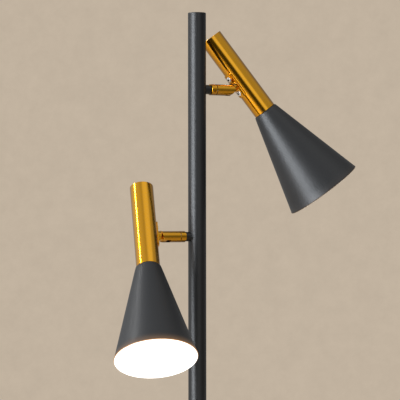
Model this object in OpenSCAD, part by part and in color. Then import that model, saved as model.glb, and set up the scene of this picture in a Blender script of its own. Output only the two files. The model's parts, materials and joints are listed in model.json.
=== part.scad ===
// Two-head floor lamp. A slim black pole on a round weighted base carries two
// spot heads, one each side. Each head is a brass tube with a black cone shade,
// and hangs on a brass knuckle: the fork swivels about the arm, and the tongue
// tilts in the fork's slot about a hinge pin.
//
// Frame: the origin is on the floor under the pole, +Z runs up the pole and -Y
// is the front. Lengths are in millimetres, angles in degrees.

/* [Overall] */
// Height of the pole's top above the floor
lamp_h = 1520; // [1400:5:1650]

/* [Base] */
// Diameter of the base
base_d = 260; // [230:5:300]
// Height of the base above the floor
base_h = 22; // [21:0.5:28]
// Sheet thickness of the base cover
cover_t = 1.5; // [1:0.1:2]
// Radius of the cover's top edge
cover_edge_r = 6; // [3:0.5:8]
// Gap between the cover's lower edge and the floor
cover_lift = 1; // [0.5:0.1:1.5]
// Thickness of the felt pad under the base
pad_t = 2; // [1.5:0.1:3]
// Inset of the pad's edge from the cover
pad_inset = 4; // [3:0.5:10]
// Diameter of the recess for the nut under the weight
recess_d = 40; // [36:1:50]
// Thickness of the web that is left over the recess
web_t = 5.5; // [4:0.5:7]
// Outer diameter of the threaded tubes that clamp the base and carry the lampholders
stud_d = 10; // [9:0.5:11]
// Bore of the base stud
stud_bore = 7.5; // [6:0.5:8]
// Width across flats of the base nut
base_nut_af = 17; // [16:0.5:20]
// Thickness of the base nut
base_nut_t = 5; // [4:0.5:5.5]
// Diameter of the base washer
washer_d = 30; // [24:1:34]
// Thickness of the base washer
washer_t = 2; // [1.5:0.1:2.5]
// Bore of the cable gland
gland_bore = 6; // [5:0.5:7]
// Wall of the cable gland
gland_wall = 1.5; // [1:0.1:1.8]

/* [Pole] */
// Outer diameter of the pole
pole_d = 25; // [22:0.5:28]
// Wall of the pole's tubes
pole_t = 1.5; // [1:0.1:2]
// Height of the joint between the pole's two lengths
pole_split_h = 760; // [600:10:900]
// Height of the joiner's collar that shows between the lengths
collar_t = 3; // [2:0.5:6]
// Length of each spigot that stands inside a pole tube
spigot_l = 30; // [20:1:40]
// Wall of the hollow spigots
spigot_t = 3; // [2:0.1:4]
// Diameter of the flange at the pole's foot
foot_d = 40; // [34:1:60]
// Thickness of the flange at the pole's foot
foot_t = 5; // [3:0.5:10]
// Thickness of the cap on the pole's top
cap_t = 3; // [2:0.5:5]

/* [Arms] */
// Height of the upper arm below the pole's top
upper_drop = 106; // [85:1:130]
// Height of the lower arm below the pole's top
lower_drop = 310.5; // [280:0.5:360]
// Turn of the line of the arms about the pole, from the X axis
arm_turn = 30; // [0:1:45]
// Diameter of the black boss on the pole
boss_d = 13; // [11:0.5:14]
// Length of the black boss outside the pole
boss_l = 8; // [6:0.5:12]

/* [Knuckle] */
// Diameter of the brass knuckle
knuckle_d = 15.6; // [15:0.2:18]
// Length of the knuckle's fixed base
knuckle_base_l = 8.5; // [7:0.5:12]
// Distance from the fork's rear face to the hinge pin
fork_reach = 22.8; // [19:0.1:26]
// Length of the fork beyond the hinge pin's axis
fork_nose = 6; // [5.5:0.1:7]
// Thickness of the fork's rear wall
fork_wall = 3.5; // [3:0.1:4.5]
// Width of the slot in the fork
slot_w = 6.3; // [5.5:0.1:6.6]
// Distance from the slot's floor to the hinge pin's axis
slot_depth = 7.2; // [7:0.1:7.4]
// Diameter of the hinge pin
pin_d = 4; // [3.5:0.1:4.4]
// Diameter of the hollow nipple that carries the fork
nipple_d = 8; // [7.4:0.1:8.2]
// Bore of the hollow nipple
nipple_bore = 4.8; // [4:0.1:5.4]
// Diameter of the small pins that stop the swivel and the tilt
stop_d = 1.6; // [1.2:0.1:1.8]
// Swivel to each side at which the stop pin meets its lug
swivel_stop = 166; // [150:1:166]
// Tilt inwards at which the tongue's stop pin meets the end of its groove
tilt_stop_in = -3; // [-8:1:-3]
// Tilt outwards at which the tongue's stop pin meets the end of its groove
tilt_stop_out = 39; // [39:1:45]
// Distance from the hinge pin's axis to the bracket plate
tongue_reach = 10.6; // [10:0.1:14]
// Diameter of the tongue's stub
stub_d = 13; // [11:0.5:13.4]

/* [Head] */
// Outer diameter of the brass tube
tube_d = 32.6; // [31.4:0.2:36]
// Wall of the brass tube
tube_t = 1; // [0.8:0.1:1.2]
// Length of the brass tube
tube_l = 128; // [115:1:140]
// Height of the bracket plate's middle above the tube's lower end
bracket_h = 53.5; // [50:0.5:58]
// Length of the bracket plate
plate_l = 38; // [34:0.5:42]
// Width of the bracket plate across its curve
plate_w = 17; // [14:0.5:20]
// Thickness of the bracket plate
plate_t = 1.6; // [1.4:0.1:2.4]
// Radius of the bracket plate's corners
plate_r = 4; // [2:0.5:5]
// Distance between the two bracket screws
screw_pitch = 23.4; // [22.6:0.2:26]
// Diameter of the bracket screws
screw_d = 4; // [3:0.1:4.2]
// Diameter of the bracket screws' heads
screw_head_d = 7.8; // [6.5:0.1:8.2]
// Height of the bracket screws' heads
screw_head_h = 2.4; // [1.8:0.1:2.8]
// Width of the strap inside the tube
strap_w = 12; // [10.5:0.5:12.5]
// Thickness of the strap inside the tube
strap_t = 1.5; // [1:0.1:2]

/* [Shade] */
// Outer diameter of the shade's mouth
mouth_d = 112; // [100:1:125]
// Outer diameter of the shade's neck, before its edge is rounded
neck_d = 34.8; // [33.8:0.2:38]
// Size of the rounding at the neck's edge
neck_edge = 0.7; // [0.4:0.1:0.8]
// Length of the shade below the tube
shade_l = 140; // [130:1:160]
// Sheet thickness of the shade
shade_t = 1; // [0.8:0.1:1.2]
// Depth of the shadow line between the tube and the shade
shadow_h = 0.5; // [0.3:0.1:1]
// Radius of the bead that is rolled inwards at the mouth
bead_r = 1; // [0.8:0.1:1.5]

/* [Lampholder and bulb] */
// Diameter of the lampholder's threaded end
holder_d = 27.8; // [26:0.2:28]
// Length of the lampholder
holder_l = 45; // [43:1:47]
// Length of the lampholder that stands out of the tube
holder_out = 10; // [9:0.5:13]
// Wall of the shade ring
ring_wall = 1.4; // [1:0.1:1.6]
// Height of the shade ring
ring_h = 6; // [4:0.5:7]
// Diameter of the bulb's screw cap
cap_d = 13.8; // [13.4:0.1:14]
// Length of the bulb's screw cap
cap_l = 20; // [18:0.5:21]
// Diameter of the bulb's glass
bulb_d = 45; // [38:1:46]
// Distance from the screw cap to the middle of the bulb's glass
bulb_reach = 31; // [28:0.5:34]
// Wall of the bulb's glass
glass_t = 0.8; // [0.6:0.1:1.2]

/* [Wiring] */
// Diameter of the twin wires
wire_d = 2.6; // [2:0.1:2.8]
// Length of the terminal block in the base
block_l = 18; // [14:1:24]
// Width of the terminal block in the base
block_w = 16; // [12:1:20]
// Height of the terminal block in the base
block_h = 8; // [6:0.5:10]

/* [Pose] */
// Swivel of the upper head about its arm
upper_swivel = -16; // [-40:1:40]
// Tilt of the upper head's shade away from the pole
upper_tilt = 33.8; // [0:0.1:38]
// Swivel of the lower head about its arm
lower_swivel = 30; // [-40:0.5:40]
// Tilt of the lower head's shade away from the pole
lower_tilt = 10.5; // [0:0.5:38]

/* [Hidden] */
$fn = 96;

// Named clearances
fit_gap = 0.05;     // between pieces that are pressed, screwed or pushed together
run_gap = 0.05;     // radial, between a pin and the hole that turns on it
slide_gap = 0.15;   // between the tongue and each cheek of the fork
face_gap = 0.2;     // between the faces of the knuckle that turn past each other
over = 1;           // how far a cutting shape runs past the piece it cuts

// Finishes
powder_black = [0.13, 0.13, 0.135];
brass = [0.78, 0.58, 0.2];
steel = [0.72, 0.73, 0.75];
iron = [0.3, 0.3, 0.31];
felt = [0.12, 0.12, 0.12];
rubber = [0.07, 0.07, 0.07];
porcelain = [0.9, 0.9, 0.88];
glass = [0.98, 0.97, 0.92];
wire_sleeve = [0.85, 0.85, 0.82];

// Base
base_r = base_d / 2;
weight_r = base_r - cover_t - 0.3;
weight_top = base_h - cover_t;
recess_top = weight_top - web_t;
base_nut_z = recess_top - washer_t - base_nut_t;
gland_r = gland_bore / 2 + gland_wall;
gland_lip = 1.5;
gland_flange_r = gland_r + gland_lip;
gland_z = pad_t + gland_flange_r;
channel_w = 2 * gland_flange_r + 1;
channel_top = gland_z + gland_flange_r + 0.5;
block_y = recess_d / 2 + 1;

// Pole
pole_r = pole_d / 2;
pole_bore_r = pole_r - pole_t;
spigot_r = pole_bore_r - fit_gap;
pole_z = base_h + foot_t;
pole_top = lamp_h - cap_t;

// Arms: [height, azimuth, swivel, tilt] of each
UPPER = [lamp_h - upper_drop, arm_turn, upper_swivel, upper_tilt];
LOWER = [lamp_h - lower_drop, arm_turn + 180, lower_swivel, lower_tilt];
boss_r = boss_d / 2;
boss_end = pole_r + boss_l;

// Knuckle, along the arm from the pole's axis
knuckle_r = knuckle_d / 2;
nipple_r = nipple_d / 2;
base_end = boss_end + knuckle_base_l;
fork_rear = base_end + face_gap;
pivot_x = fork_rear + fork_reach;
cavity_x = fork_rear + fork_wall;
slot_x = pivot_x - slot_depth;
clip_t = 1;
clip_x = cavity_x + face_gap;
clip_groove = 0.5;
clip_r = nipple_r + 1.3;
cavity_r = clip_r + 0.3;
nipple_end = clip_x + clip_t + 2;
stop_ring_r = (nipple_r + knuckle_r) / 2;
stop_l = 1.5;
groove_w = stop_d + 0.3;
groove_depth = stop_l + 0.1;
grub_d = 3;
grub_x = boss_end + knuckle_base_l / 2;
grub_turn = 20;
tongue_t = slot_w - 2 * slide_gap;
tongue_r = slot_depth - 0.4;
tilt_stop_r = 4.9;
nose_x = pivot_x + fork_nose - knuckle_r;
stub_x = fork_nose + 0.9;
neck_half = stub_d / 2;
spigot_nut_t = 3.5;
tongue_bore = wire_d + 1;

// Head, from the point on the tube's axis level with the bracket's middle
tube_r = tube_d / 2;
tube_bore_r = tube_r - tube_t;
plate_r_out = tube_r + fit_gap + plate_t;
head_x = tongue_reach + plate_r_out;
seat_x = -sqrt(pow(plate_r_out, 2) - pow(screw_head_d / 2, 2));
tube_low = -bracket_h;
tube_high = tube_l - bracket_h;
strap_x = -sqrt(pow(tube_bore_r - fit_gap, 2) - pow(strap_w / 2, 2));
strap_in = strap_x + strap_t;
strap_high = screw_pitch / 2 + screw_head_d / 2 + 1;
tongue_spigot_d = 8;
spigot_end = strap_in + spigot_nut_t + 0.7;
tube_cap_t = 1.5;
tube_cap_skirt = 6;

// Shade
neck_r = neck_d / 2;
mouth_r = mouth_d / 2;
shade_top = tube_low - shadow_h;
shade_low = tube_low - shade_l;
lip_r = tube_bore_r + tube_t / 2;
flange_low = shade_top - shade_t;
shade_slope = (mouth_r - neck_r) / (shade_top - shade_low);
shade_hole_r = holder_d / 2 + 0.2;

// Lampholder and bulb
holder_r = holder_d / 2;
holder_low = tube_low - holder_out;
holder_high = holder_low + holder_l;
shoulder_r = tube_bore_r - 0.3;
shoulder_h = 3;
holder_body_r = holder_r - 0.6;
holder_crown_h = 4;
socket_r = cap_d / 2 + 0.7;
shell_t = 0.4;
shell_r = socket_r - fit_gap;
socket_floor_t = 3;
strap_leg_z = holder_high;
cap_low = holder_low - 0.5;
cap_high = cap_low + cap_l;
cap_wall = 0.5;
tip_h = 1.1;
contact_t = 1;
socket_high = cap_high + tip_h + 0.1 + contact_t;
glass_neck_r = cap_d / 2 + 2;
stem_r = cap_d / 2 - cap_wall - fit_gap;
stem_l = 6;
bulb_r = bulb_d / 2;
bulb_z = cap_low - bulb_reach;

// Wiring
wire_r = wire_d / 2;
wire_side = wire_r + 0.9;
wire_bend = 4;
sleeve_t = 0.1;
sleeve_l = 6;
wire_low_bend = 3;
wire_low_z = (pad_t + base_nut_z) / 2;
contact_top = socket_high + socket_floor_t + 2;

// ---------------------------------------------------------------- places

// From the arm's own frame, X out along the arm, to the lamp
module at_arm(arm) translate([0, 0, arm[0]]) rotate([0, 0, arm[1]]) children();

// The same, turned with the fork
module at_fork(arm) at_arm(arm) rotate([arm[2], 0, 0]) children();

// From the hinge's own frame, X towards the tube, to the lamp
module at_hinge(arm) at_fork(arm) translate([pivot_x, 0, 0]) rotate([0, -arm[3], 0]) children();

// From the head's own frame, Z up the tube, to the lamp
module at_head(arm) at_hinge(arm) translate([head_x, 0, 0]) children();

// ---------------------------------------------------------------- shapes

// A cylinder along X, from one x to another
module rod_x(r, from, to) translate([from, 0, 0]) rotate([0, 90, 0]) cylinder(r = r, h = to - from);

// A cylinder along Y, centred
module rod_y(r, length) rotate([90, 0, 0]) cylinder(r = r, h = length, center = true);

// A cylinder along Z, from one z to another
module rod_z(r, from, to) translate([0, 0, from]) cylinder(r = r, h = to - from);

// A rod along X whose two edges are chamfered
module chamfered_rod_x(r, from, to, c)
  translate([from, 0, 0]) rotate([0, 90, 0]) rotate_extrude()
    polygon([[0, 0], [r - c, 0], [r, c], [r, to - from - c], [r - c, to - from], [0, to - from]]);

// A quarter bend in the XZ plane: it leaves the origin along +X and turns to -Z
module bend_down(r, bend)
  translate([0, 0, -bend]) rotate([90, 0, 0]) rotate_extrude(angle = 90) translate([bend, 0]) circle(r);

// A hexagonal nut along Z with its hole
module hex_nut(across, thickness, hole_r)
  difference() {
    cylinder(r = across / sqrt(3), h = thickness, $fn = 6);
    translate([0, 0, -over]) cylinder(r = hole_r, h = thickness + 2 * over);
  }

// A rectangle with round corners, centred
module rounded_rect(length, width, r) {
  square([length - 2 * r, width], center = true);
  square([length, width - 2 * r], center = true);
  for (x = [-1, 1], y = [-1, 1]) translate([x * (length / 2 - r), y * (width / 2 - r)]) circle(r);
}

// Half of the section of a round tray, upside down, with a rounded edge
module tray_section(r, low, high, edge) {
  translate([0, low]) square([r, high - edge - low]);
  translate([0, low]) square([r - edge, high - low]);
  translate([r - edge, high - edge]) circle(edge);
}

// ---------------------------------------------------------------- base

module base_pad() {
  color(felt) cylinder(r = base_r - pad_inset, h = pad_t);
}

module base_weight() {
  color(iron) difference() {
    rotate_extrude() tray_section(weight_r, pad_t, weight_top, cover_edge_r - cover_t + 0.5);
    rod_z(recess_d / 2, pad_t - over, recess_top);
    rod_z(stud_d / 2 + fit_gap, recess_top - over, weight_top + over);
    translate([-channel_w / 2, 0, pad_t - over])
      cube([channel_w, base_r, channel_top - pad_t + over]);
    translate([-block_w / 2 - 1, block_y - 3, pad_t - over])
      cube([block_w + 2, block_l + 4, block_h + 1 + over]);
  }
}

module base_cover() {
  color(powder_black) difference() {
    rotate_extrude() difference() {
      tray_section(base_r, cover_lift, base_h, cover_edge_r);
      tray_section(base_r - cover_t, cover_lift - over, weight_top, cover_edge_r - cover_t);
    }
    rod_z(stud_d / 2 + fit_gap, weight_top - over, base_h + over);
    translate([0, base_r, gland_z]) rod_y(gland_r + fit_gap, 4 * cover_t);
  }
}

module base_stud() {
  color(steel) difference() {
    rod_z(stud_d / 2, base_nut_z, pole_z + spigot_l);
    rod_z(stud_bore / 2, base_nut_z - over, pole_z + spigot_l + over);
  }
}

module base_washer() {
  color(steel) difference() {
    rod_z(washer_d / 2, recess_top - washer_t, recess_top);
    rod_z(stud_d / 2 + fit_gap, 0, base_h);
  }
}

module base_nut() {
  color(steel) translate([0, 0, base_nut_z]) hex_nut(base_nut_af, base_nut_t, stud_d / 2 + fit_gap);
}

// The grommet's neck fills the hole, and its flanges follow the round wall
module cable_gland() {
  color(rubber) difference() {
    translate([0, base_r - cover_t / 2, gland_z]) rod_y(gland_flange_r, cover_t + 2 * gland_lip);
    translate([0, base_r, gland_z]) rod_y(gland_bore / 2, 8 * cover_t);
    difference() {
      rod_z(base_r + fit_gap, 0, base_h);
      rod_z(base_r - cover_t - fit_gap, -over, base_h + over);
      translate([0, base_r, gland_z]) rod_y(gland_r, 8 * cover_t);
    }
  }
}

// Two brass ways in a moulded block, with a screw hole over each wire
module terminal_block() {
  color(porcelain) difference() {
    translate([-block_w / 2, block_y, pad_t]) cube([block_w, block_l, block_h]);
    for (side = [-1, 1]) translate([side * wire_side * cos(arm_turn), 0, 0]) {
      translate([0, block_y + block_l / 2, wire_low_z]) rod_y(wire_r + 0.3, block_l + 2 * over);
      for (end = [0.25, 0.75]) translate([0, block_y + end * block_l, 0])
        rod_z(wire_r, wire_low_z, pad_t + block_h + over);
    }
  }
}

// ---------------------------------------------------------------- pole

module pole_tube(low, high) {
  difference() {
    rod_z(pole_r, low, high);
    rod_z(pole_bore_r, low - over, high + over);
  }
}

module pole_foot() {
  color(powder_black) difference() {
    union() {
      translate([0, 0, base_h]) rotate_extrude()
        polygon([[0, 0], [foot_d / 2, 0], [foot_d / 2, foot_t - 1], [foot_d / 2 - 1, foot_t], [0, foot_t]]);
      rod_z(spigot_r, pole_z, pole_z + spigot_l);
    }
    rod_z(stud_d / 2 + fit_gap, base_h - over, pole_z + spigot_l + over);
  }
}

module pole_lower() {
  color(powder_black) pole_tube(pole_z, pole_split_h);
}

module pole_joiner() {
  color(powder_black) difference() {
    union() {
      rod_z(spigot_r, pole_split_h - spigot_l, pole_split_h + collar_t + spigot_l);
      rod_z(pole_r, pole_split_h, pole_split_h + collar_t);
    }
    rod_z(spigot_r - spigot_t, pole_split_h - spigot_l - over, pole_split_h + collar_t + spigot_l + over);
  }
}

module pole_upper() {
  color(powder_black) difference() {
    pole_tube(pole_split_h + collar_t, pole_top);
    for (arm = [UPPER, LOWER]) at_arm(arm) rod_x(nipple_r + fit_gap, 0, pole_r + over);
  }
}

module pole_cap() {
  color(powder_black) {
    translate([0, 0, pole_top]) rotate_extrude()
      polygon([[0, 0], [pole_r, 0], [pole_r, cap_t - 0.6], [pole_r - 0.6, cap_t], [0, cap_t]]);
    difference() {
      rod_z(spigot_r, pole_top - spigot_l / 2, pole_top + cap_t / 2);
      rod_z(spigot_r - spigot_t, pole_top - spigot_l / 2 - over, pole_top);
    }
  }
}

// ---------------------------------------------------------------- knuckle, fixed to the pole

// The boss is cut to the pole's round where it is welded on
module arm_boss() {
  color(powder_black) difference() {
    rod_x(boss_r, 0, boss_end);
    rod_z(pole_r + fit_gap, -boss_d, boss_d);
    rod_x(nipple_r + fit_gap, 0, boss_end + over);
  }
}

module knuckle_base() {
  color(brass) {
    difference() {
      chamfered_rod_x(knuckle_r, boss_end, base_end, 0.5);
      rod_x(nipple_r + fit_gap, boss_end - over, base_end + over);
      translate([grub_x, 0, 0]) rotate([-90 - grub_turn, 0, 0])
        cylinder(r = grub_d / 2 + fit_gap, h = knuckle_r + over);
    }
    translate([0, 0, -stop_ring_r]) rod_x(stop_d / 2, base_end - 1, base_end + stop_l);
  }
}

module grub_screw() {
  length = knuckle_r - nipple_r - 0.8;
  color(steel) translate([grub_x, 0, 0]) rotate([-90 - grub_turn, 0, 0])
    translate([0, 0, nipple_r + 0.1]) difference() {
      cylinder(r = grub_d / 2, h = length);
      translate([0, 0, length / 2]) cylinder(r = grub_d / 4, h = length, $fn = 6);
    }
}

module swivel_nipple() {
  color(steel) difference() {
    rod_x(nipple_r, pole_bore_r - 1.5, nipple_end);
    rod_x(nipple_bore / 2, 0, nipple_end + over);
    difference() {
      rod_x(nipple_r + over, clip_x - fit_gap, clip_x + clip_t + fit_gap);
      rod_x(nipple_r - clip_groove, clip_x - over, clip_x + clip_t + over);
    }
  }
}

// The snap ring is open on one side, so that it can be pushed into its groove
module swivel_clip() {
  color(steel) difference() {
    rod_x(clip_r, clip_x, clip_x + clip_t);
    rod_x(nipple_r - clip_groove + fit_gap, clip_x - over, clip_x + clip_t + over);
    translate([clip_x - over, -1.5, 0]) cube([clip_t + 2 * over, 3, clip_r + over]);
  }
}

// ---------------------------------------------------------------- fork

// The fork's rear face has a ring groove for the stop pin, closed by a lug
module swivel_groove() {
  difference() {
    rod_x(stop_ring_r + groove_w / 2, fork_rear - over, fork_rear + groove_depth);
    rod_x(stop_ring_r - groove_w / 2, fork_rear - 2 * over, fork_rear + groove_depth + over);
    // the lug: a wedge as wide as the turn that the stop pin leaves free
    half = 180 - swivel_stop - asin(stop_d / 2 / stop_ring_r) - 0.5;
    translate([fork_rear - 2 * over, 0, 0]) rotate([90, 0, 90]) linear_extrude(groove_depth + 3 * over)
      polygon([[0, 0], [2 * knuckle_r * sin(half), 2 * knuckle_r * cos(half)],
               [-2 * knuckle_r * sin(half), 2 * knuckle_r * cos(half)]]);
  }
}

// One cheek has an arc groove that the tongue's stop pin runs in
module tilt_groove() {
  end = asin(stop_d / 2 / tilt_stop_r) + 0.5;
  translate([pivot_x, slot_w / 2 - over, 0]) rotate([-90, 0, 0]) rotate([0, 0, 270 - tilt_stop_out - end])
    rotate_extrude(angle = tilt_stop_out - tilt_stop_in + 2 * end)
      translate([tilt_stop_r - groove_w / 2, 0]) square([groove_w, over + groove_depth]);
}

module knuckle_fork() {
  color(brass) difference() {
    intersection() {
      chamfered_rod_x(knuckle_r, fork_rear, pivot_x + knuckle_d, 0.4);
      union() {
        translate([fork_rear, -knuckle_r, -knuckle_r]) cube([nose_x - fork_rear, knuckle_d, knuckle_d]);
        translate([nose_x, 0, 0]) rod_y(knuckle_r, knuckle_d);
      }
    }
    translate([slot_x, -slot_w / 2, -knuckle_d]) cube([knuckle_d + slot_depth, slot_w, 2 * knuckle_d]);
    rod_x(cavity_r, cavity_x, slot_x + over / 2);
    rod_x(nipple_r + run_gap, fork_rear - over, cavity_x + over);
    translate([pivot_x, 0, 0]) rod_y(pin_d / 2 + fit_gap / 2, knuckle_d + over);
    swivel_groove();
    tilt_groove();
  }
}

// Pressed into the cheeks and dressed flush with their round
module hinge_pin() {
  color(brass) intersection() {
    translate([pivot_x, 0, 0]) rod_y(pin_d / 2, knuckle_d);
    rod_x(knuckle_r - 0.05, pivot_x - pin_d, pivot_x + pin_d);
  }
}

// ---------------------------------------------------------------- tongue, from the hinge

// Side view of the tongue. Its round nose clears the slot's floor over the
// whole tilt.
module tongue_side() {
  circle(tongue_r);
  translate([0, -neck_half]) square([stub_x + over / 2, 2 * neck_half]);
}

// The stub's end is hollowed to the plate's round, and the threaded spigot
// passes through plate, tube and strap
module knuckle_tongue() {
  tip = head_x + spigot_end;
  color(brass) difference() {
    union() {
      intersection() {
        rotate([90, 0, 0]) translate([0, 0, -tongue_t / 2]) linear_extrude(tongue_t) tongue_side();
        rod_x(knuckle_r, -knuckle_r, tongue_reach);
      }
      difference() {
        rod_x(stub_d / 2, stub_x, tongue_reach + stub_d / 4);
        translate([head_x, 0, 0]) rod_z(plate_r_out + fit_gap, -stub_d, stub_d);
      }
      rod_x(tongue_spigot_d / 2, tongue_reach - over, tip);
      translate([0, tongue_t / 2 - 1 + (stop_l + 1) / 2, tilt_stop_r]) rod_y(stop_d / 2, stop_l + 1);
    }
    rod_y(pin_d / 2 + run_gap, knuckle_d);
    rod_x(tongue_bore / 2, pin_d / 2 + 1.2, tip + over);
  }
}

// ---------------------------------------------------------------- head

module tongue_nut() {
  color(steel) translate([strap_in, 0, 0]) rotate([0, 90, 0])
    hex_nut(13, spigot_nut_t, tongue_spigot_d / 2 + fit_gap);
}

// Plate rolled to the tube's round, with a spot face under each screw
module bracket_plate() {
  color(brass) difference() {
    intersection() {
      rod_z(plate_r_out, -plate_l, plate_l);
      translate([-2 * tube_r, 0, 0]) rotate([0, 90, 0]) linear_extrude(2 * tube_r)
        rounded_rect(plate_l, plate_w, plate_r);
    }
    rod_z(tube_r + fit_gap, -plate_l, plate_l);
    rod_x(tongue_spigot_d / 2 + fit_gap, -2 * tube_r, 0);
    for (z = [-1, 1]) translate([0, 0, z * screw_pitch / 2]) {
      rod_x(screw_d / 2 + fit_gap, -2 * tube_r, 0);
      rod_x(screw_head_d / 2 + 0.1, -2 * tube_r, seat_x);
    }
  }
}

module bracket_screws() {
  dome_h = screw_head_h / 2;
  dome_r = (pow(screw_head_d / 2, 2) + pow(dome_h, 2)) / (2 * dome_h);
  color(steel) for (z = [-1, 1]) translate([seat_x, 0, z * screw_pitch / 2]) difference() {
    union() {
      rotate([0, -90, 0]) rotate_extrude() intersection() {
        square([screw_head_d / 2, screw_head_h]);
        translate([0, screw_head_h - dome_r]) circle(dome_r);
      }
      rod_x(screw_d / 2, -0.1, strap_in - seat_x + 1.5);
    }
    rod_x(screw_head_d / 4.4, -screw_head_h - over, -screw_head_h * 0.35, $fn = 6);
  }
}

// Angle strap inside the tube: the long leg takes the bracket screws, the
// short leg carries the lampholder on its nipple
module holder_strap() {
  color(steel) difference() {
    union() {
      translate([strap_x, -strap_w / 2, strap_leg_z])
        cube([strap_t, strap_w, strap_high - strap_leg_z]);
      translate([strap_x, -strap_w / 2, strap_leg_z])
        cube([stud_d / 2 + 3 - strap_x, strap_w, strap_t]);
    }
    rod_x(tongue_spigot_d / 2 + fit_gap, strap_x - over, strap_in + over);
    for (z = [-1, 1]) translate([0, 0, z * screw_pitch / 2])
      rod_x(screw_d / 2 + fit_gap, strap_x - over, strap_in + over);
    rod_z(stud_d / 2 + fit_gap, strap_leg_z - over, strap_leg_z + strap_t + over);
  }
}

// Hollow threaded nipple with its lock nut turned on
module holder_nipple() {
  top = strap_leg_z + strap_t;
  color(steel) difference() {
    union() {
      rod_z(stud_d / 2, holder_high - holder_crown_h - 1, top + 5);
      translate([0, 0, top]) cylinder(r = 14 / sqrt(3), h = 3, $fn = 6);
    }
    rod_z(stud_d / 2 - 1.5, holder_high - holder_crown_h - 1 - over, top + 5 + over);
  }
}

// Moulded body: crown with the nipple's thread, wire space, socket, shoulder
module lampholder() {
  space_low = socket_high + socket_floor_t;
  crown_low = holder_high - holder_crown_h;
  color(porcelain) difference() {
    union() {
      translate([0, 0, holder_low]) cylinder(r = holder_r, h = tube_low - holder_low);
      rod_z(shoulder_r, tube_low, tube_low + shoulder_h);
      rod_z(holder_body_r, tube_low + shoulder_h - over, crown_low);
      translate([0, 0, crown_low]) cylinder(r1 = holder_body_r, r2 = holder_body_r - 4, h = holder_crown_h);
    }
    rod_z(socket_r, holder_low - over, socket_high);
    rod_z(2.5, socket_high - over, space_low + over);
    rod_z(socket_r, space_low, crown_low - 1);
    rod_z(stud_d / 2 + fit_gap, crown_low - 1 - over, holder_high + over);
  }
}

// The socket's brass shell, and the contact at its head
module holder_contacts() {
  color(brass) {
    difference() {
      rod_z(shell_r, holder_low + 1, socket_high);
      rod_z(shell_r - shell_t, holder_low, socket_high - shell_t);
      rod_z(4.5, socket_high - 2 * over, socket_high + over);
    }
    rod_z(3, socket_high - contact_t, socket_high);
    rod_z(2.5 - fit_gap, socket_high - contact_t / 2, contact_top);
  }
}

module shade_ring() {
  grips = 16;
  color(porcelain) difference() {
    rod_z(holder_r + 0.1 + ring_wall, flange_low - ring_h, flange_low);
    rod_z(holder_r + 0.1, flange_low - ring_h - over, flange_low + over);
    for (i = [0 : grips - 1]) rotate([0, 0, i * 360 / grips])
      translate([holder_r + 0.1 + ring_wall, 0, 0])
        rod_z(ring_wall / 2, flange_low - ring_h - over, flange_low - ring_h / 3);
  }
}

module head_tube() {
  color(brass) difference() {
    rod_z(tube_r, tube_low, tube_high);
    rod_z(tube_bore_r, tube_low - over, tube_high + over);
    rod_x(tongue_spigot_d / 2 + fit_gap, -tube_r - over, 0);
    for (z = [-1, 1]) translate([0, 0, z * screw_pitch / 2])
      rod_x(screw_d / 2 + fit_gap, -tube_r - over, 0);
  }
}

module tube_cap() {
  r = tube_bore_r - fit_gap;
  color(brass) difference() {
    rod_z(r, tube_high - tube_cap_skirt, tube_high - 0.3);
    rod_z(r - 1, tube_high - tube_cap_skirt - over, tube_high - 0.3 - tube_cap_t);
  }
}

// Spun cone: a flat flange clamps under the tube, with a small lip that
// keeps the shadow line, and the mouth ends in a bead rolled inwards
module shade() {
  color(powder_black) {
    rotate_extrude() polygon([
      [shade_hole_r, tube_low], [lip_r, tube_low], [lip_r, shade_top],
      [neck_r - neck_edge, shade_top], [neck_r, shade_top - neck_edge],
      [mouth_r, shade_low], [mouth_r - shade_t, shade_low],
      [neck_r - shade_t + shade_slope * shade_t, flange_low], [shade_hole_r, flange_low]
    ]);
    rotate_extrude() translate([mouth_r - shade_t - bead_r * 0.6, shade_low + bead_r]) circle(bead_r);
  }
}

module bulb_cap() {
  color(steel) difference() {
    union() {
      rod_z(cap_d / 2, cap_low, cap_high - 2);
      translate([0, 0, cap_high - 2]) cylinder(r1 = cap_d / 2, r2 = cap_d / 4, h = 2);
      rod_z(2.4, cap_high - 0.5, cap_high + tip_h);
    }
    rod_z(cap_d / 2 - cap_wall, cap_low - over, cap_high - 3);
  }
}

// Half of the bulb's section: a ball, a neck, and a stem that stands in the cap
module bulb_section(r, neck_r, neck_top, stem_r, stem_top) {
  lean = 35;
  intersection() {
    translate([0, bulb_z]) circle(r);
    translate([0, bulb_z - bulb_r]) square(2 * bulb_r);
  }
  polygon([
    [0, bulb_z], [r * cos(lean), bulb_z + r * sin(lean)], [neck_r, cap_low - 3],
    [neck_r, neck_top], [stem_r, neck_top], [stem_r, stem_top], [0, stem_top]
  ]);
}

module bulb_glass() {
  color(glass) rotate_extrude() difference() {
    bulb_section(bulb_r, glass_neck_r, cap_low, stem_r, cap_low + stem_l);
    bulb_section(bulb_r - glass_t, glass_neck_r - glass_t, cap_low - glass_t,
                 stem_r - glass_t, cap_low + stem_l + over);
  }
}

// ---------------------------------------------------------------- wiring

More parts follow.
